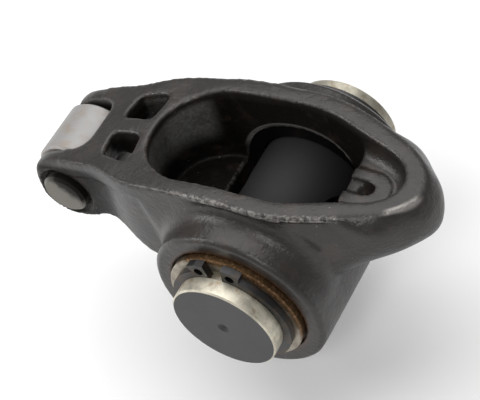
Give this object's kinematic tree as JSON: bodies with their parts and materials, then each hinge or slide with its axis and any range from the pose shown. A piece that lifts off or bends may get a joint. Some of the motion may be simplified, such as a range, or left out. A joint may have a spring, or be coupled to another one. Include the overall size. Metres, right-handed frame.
{
  "type": "roller-tip rocker arm",
  "caption": "Stud-mounted engine rocker arm: cast open-topped arm turning on a needle-bearing trunnion, with a roller in its forked tip and a ball seat under its tail.",
  "frame": {"origin": "centre of the trunnion, where the stud bore crosses its axis", "axes": "+X towards the pushrod end and along the stud bore as it lies at rest, +Y along the trunnion away from the near side, +Z out of the open top of the arm"},
  "size_m": [0.0713, 0.0448, 0.033],
  "materials": {
    "cast_arm": "black-oxide investment casting, satin, worn bright on the rim",
    "trunnion_steel": "ground journal with dark end faces",
    "roller_steel": "fine ground",
    "axle_steel": "ground, cut end",
    "cup_steel": "drawn shell, oiled",
    "cage_steel": "pressed",
    "needle_steel": "lapped",
    "washer_steel": "flat ground, oil tinted",
    "ring_steel": "spring steel, oiled"
  },
  "bodies": {
    "trunnion_group": {"trunnion": "trunnion_steel", "retaining_ring_near": "ring_steel", "retaining_ring_far": "ring_steel", "thrust_washer_near": "washer_steel", "thrust_washer_far": "washer_steel"},
    "arm": {"rocker_body": "cast_arm", "bearing_cup_near": "cup_steel", "bearing_cup_far": "cup_steel", "tip_axle": "axle_steel"},
    "roller": {"tip_roller": "roller_steel"},
    "bearing_near": {"bearing_cage_near": "cage_steel", "needle_near_01": "needle_steel", "needle_near_02": "needle_steel", "needle_near_03": "needle_steel", "needle_near_04": "needle_steel", "needle_near_05": "needle_steel", "needle_near_06": "needle_steel", "needle_near_07": "needle_steel", "needle_near_08": "needle_steel", "needle_near_09": "needle_steel", "needle_near_10": "needle_steel", "needle_near_11": "needle_steel", "needle_near_12": "needle_steel", "needle_near_13": "needle_steel", "needle_near_14": "needle_steel", "needle_near_15": "needle_steel", "needle_near_16": "needle_steel"},
    "bearing_far": {"bearing_cage_far": "cage_steel", "needle_far_01": "needle_steel", "needle_far_02": "needle_steel", "needle_far_03": "needle_steel", "needle_far_04": "needle_steel", "needle_far_05": "needle_steel", "needle_far_06": "needle_steel", "needle_far_07": "needle_steel", "needle_far_08": "needle_steel", "needle_far_09": "needle_steel", "needle_far_10": "needle_steel", "needle_far_11": "needle_steel", "needle_far_12": "needle_steel", "needle_far_13": "needle_steel", "needle_far_14": "needle_steel", "needle_far_15": "needle_steel", "needle_far_16": "needle_steel"}
  },
  "joints": [
    {"name": "arm_swing", "type": "hinge", "parent": "trunnion_group", "child": "arm", "pos_m": [0, 0, 0], "axis": [0, 1, 0], "continuous": true},
    {"name": "roller_spin", "type": "hinge", "parent": "arm", "child": "roller", "pos_m": [-0.0365, 0, 0.0024], "axis": [0, 1, 0], "continuous": true},
    {"name": "cage_near_turn", "type": "hinge", "parent": "trunnion_group", "child": "bearing_near", "pos_m": [0, 0, 0], "axis": [0, 1, 0], "continuous": true},
    {"name": "cage_far_turn", "type": "hinge", "parent": "trunnion_group", "child": "bearing_far", "pos_m": [0, 0, 0], "axis": [0, 1, 0], "continuous": true}
  ],
  "couplings": [
    {"joint": "cage_near_turn", "follows": "arm_swing", "ratio": 0.5519},
    {"joint": "cage_far_turn", "follows": "arm_swing", "ratio": 0.5519}
  ]
}
